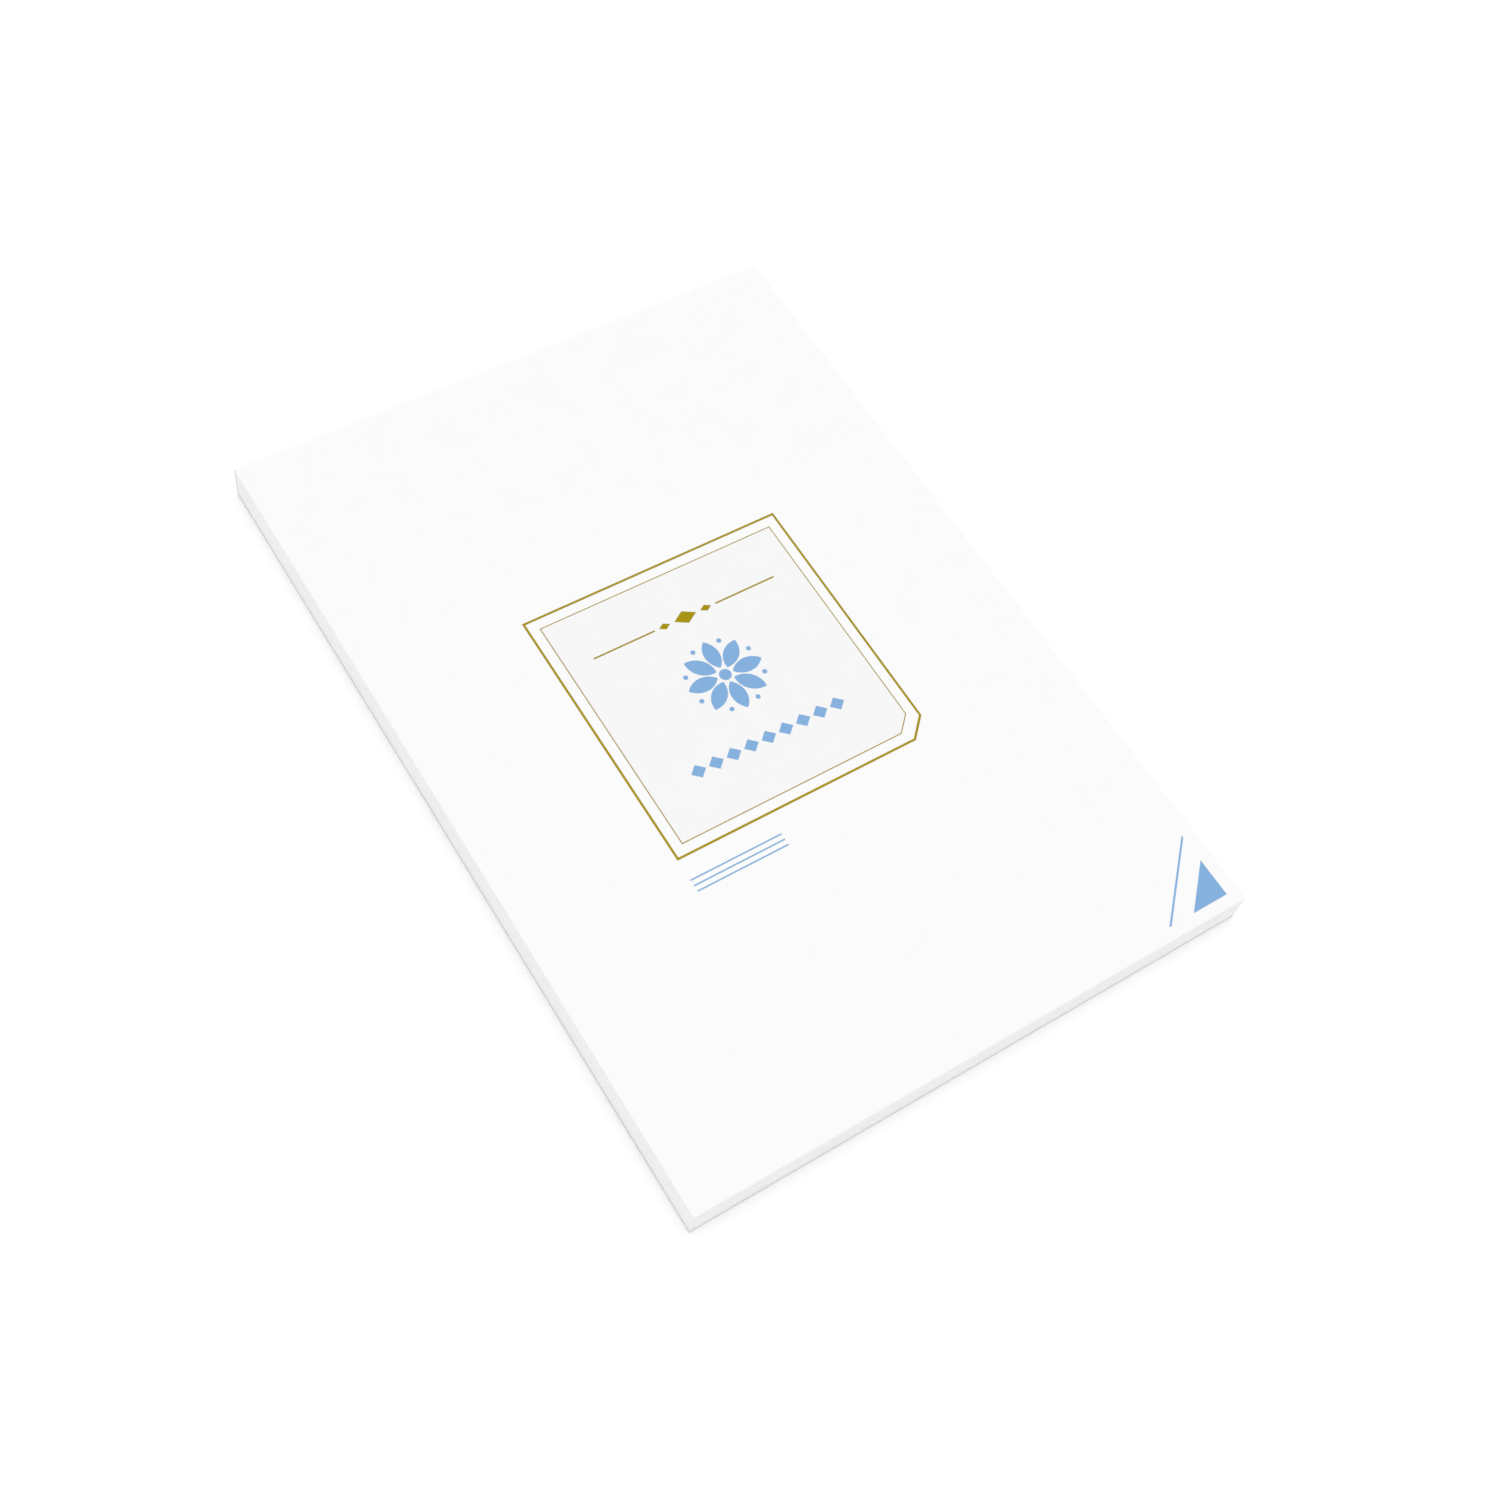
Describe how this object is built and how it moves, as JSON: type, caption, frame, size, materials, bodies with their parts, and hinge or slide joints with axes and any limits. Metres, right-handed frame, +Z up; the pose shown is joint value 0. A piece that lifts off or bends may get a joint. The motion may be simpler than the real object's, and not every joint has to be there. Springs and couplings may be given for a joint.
{
  "type": "writing pad",
  "caption": "Flat head-glued writing pad: a block of sheets on a back board, with a white card cover that turns open on the fold at its head.",
  "frame": {"origin": "middle of the pad's underside, which is the underside of the back board", "axes": "+X across the pad, +Y from the foot to the glued head, +Z up from the back board to the front cover"},
  "size_m": [0.148, 0.2108, 0.0103],
  "materials": {
    "cover_card": "satin",
    "sheet_paper": "matte",
    "back_board": "matte",
    "padding_glue": "satin",
    "ruling_ink": "matte",
    "tint_ink": "satin",
    "gold_foil": "satin",
    "blue_ink": "satin"
  },
  "bodies": {
    "pad": {"back_board": "back_board", "page_block": "sheet_paper", "page_ruling": "ruling_ink", "head_glue": "padding_glue", "head_wrap": "cover_card"},
    "cover": {"front_cover": "cover_card", "frame_tint": "tint_ink", "outer_rule": "gold_foil", "inner_rule": "gold_foil", "gold_divider": "gold_foil", "blue_rosette": "blue_ink", "lozenge_band": "blue_ink", "ruling_mark": "blue_ink", "corner_triangle": "blue_ink", "corner_diagonal": "blue_ink"}
  },
  "joints": [
    {"name": "cover_fold", "type": "hinge", "parent": "pad", "child": "cover", "pos_m": [0, 0.10475, 0.01026], "axis": [-1, 0, 0], "range_deg": [0, 180]}
  ]
}
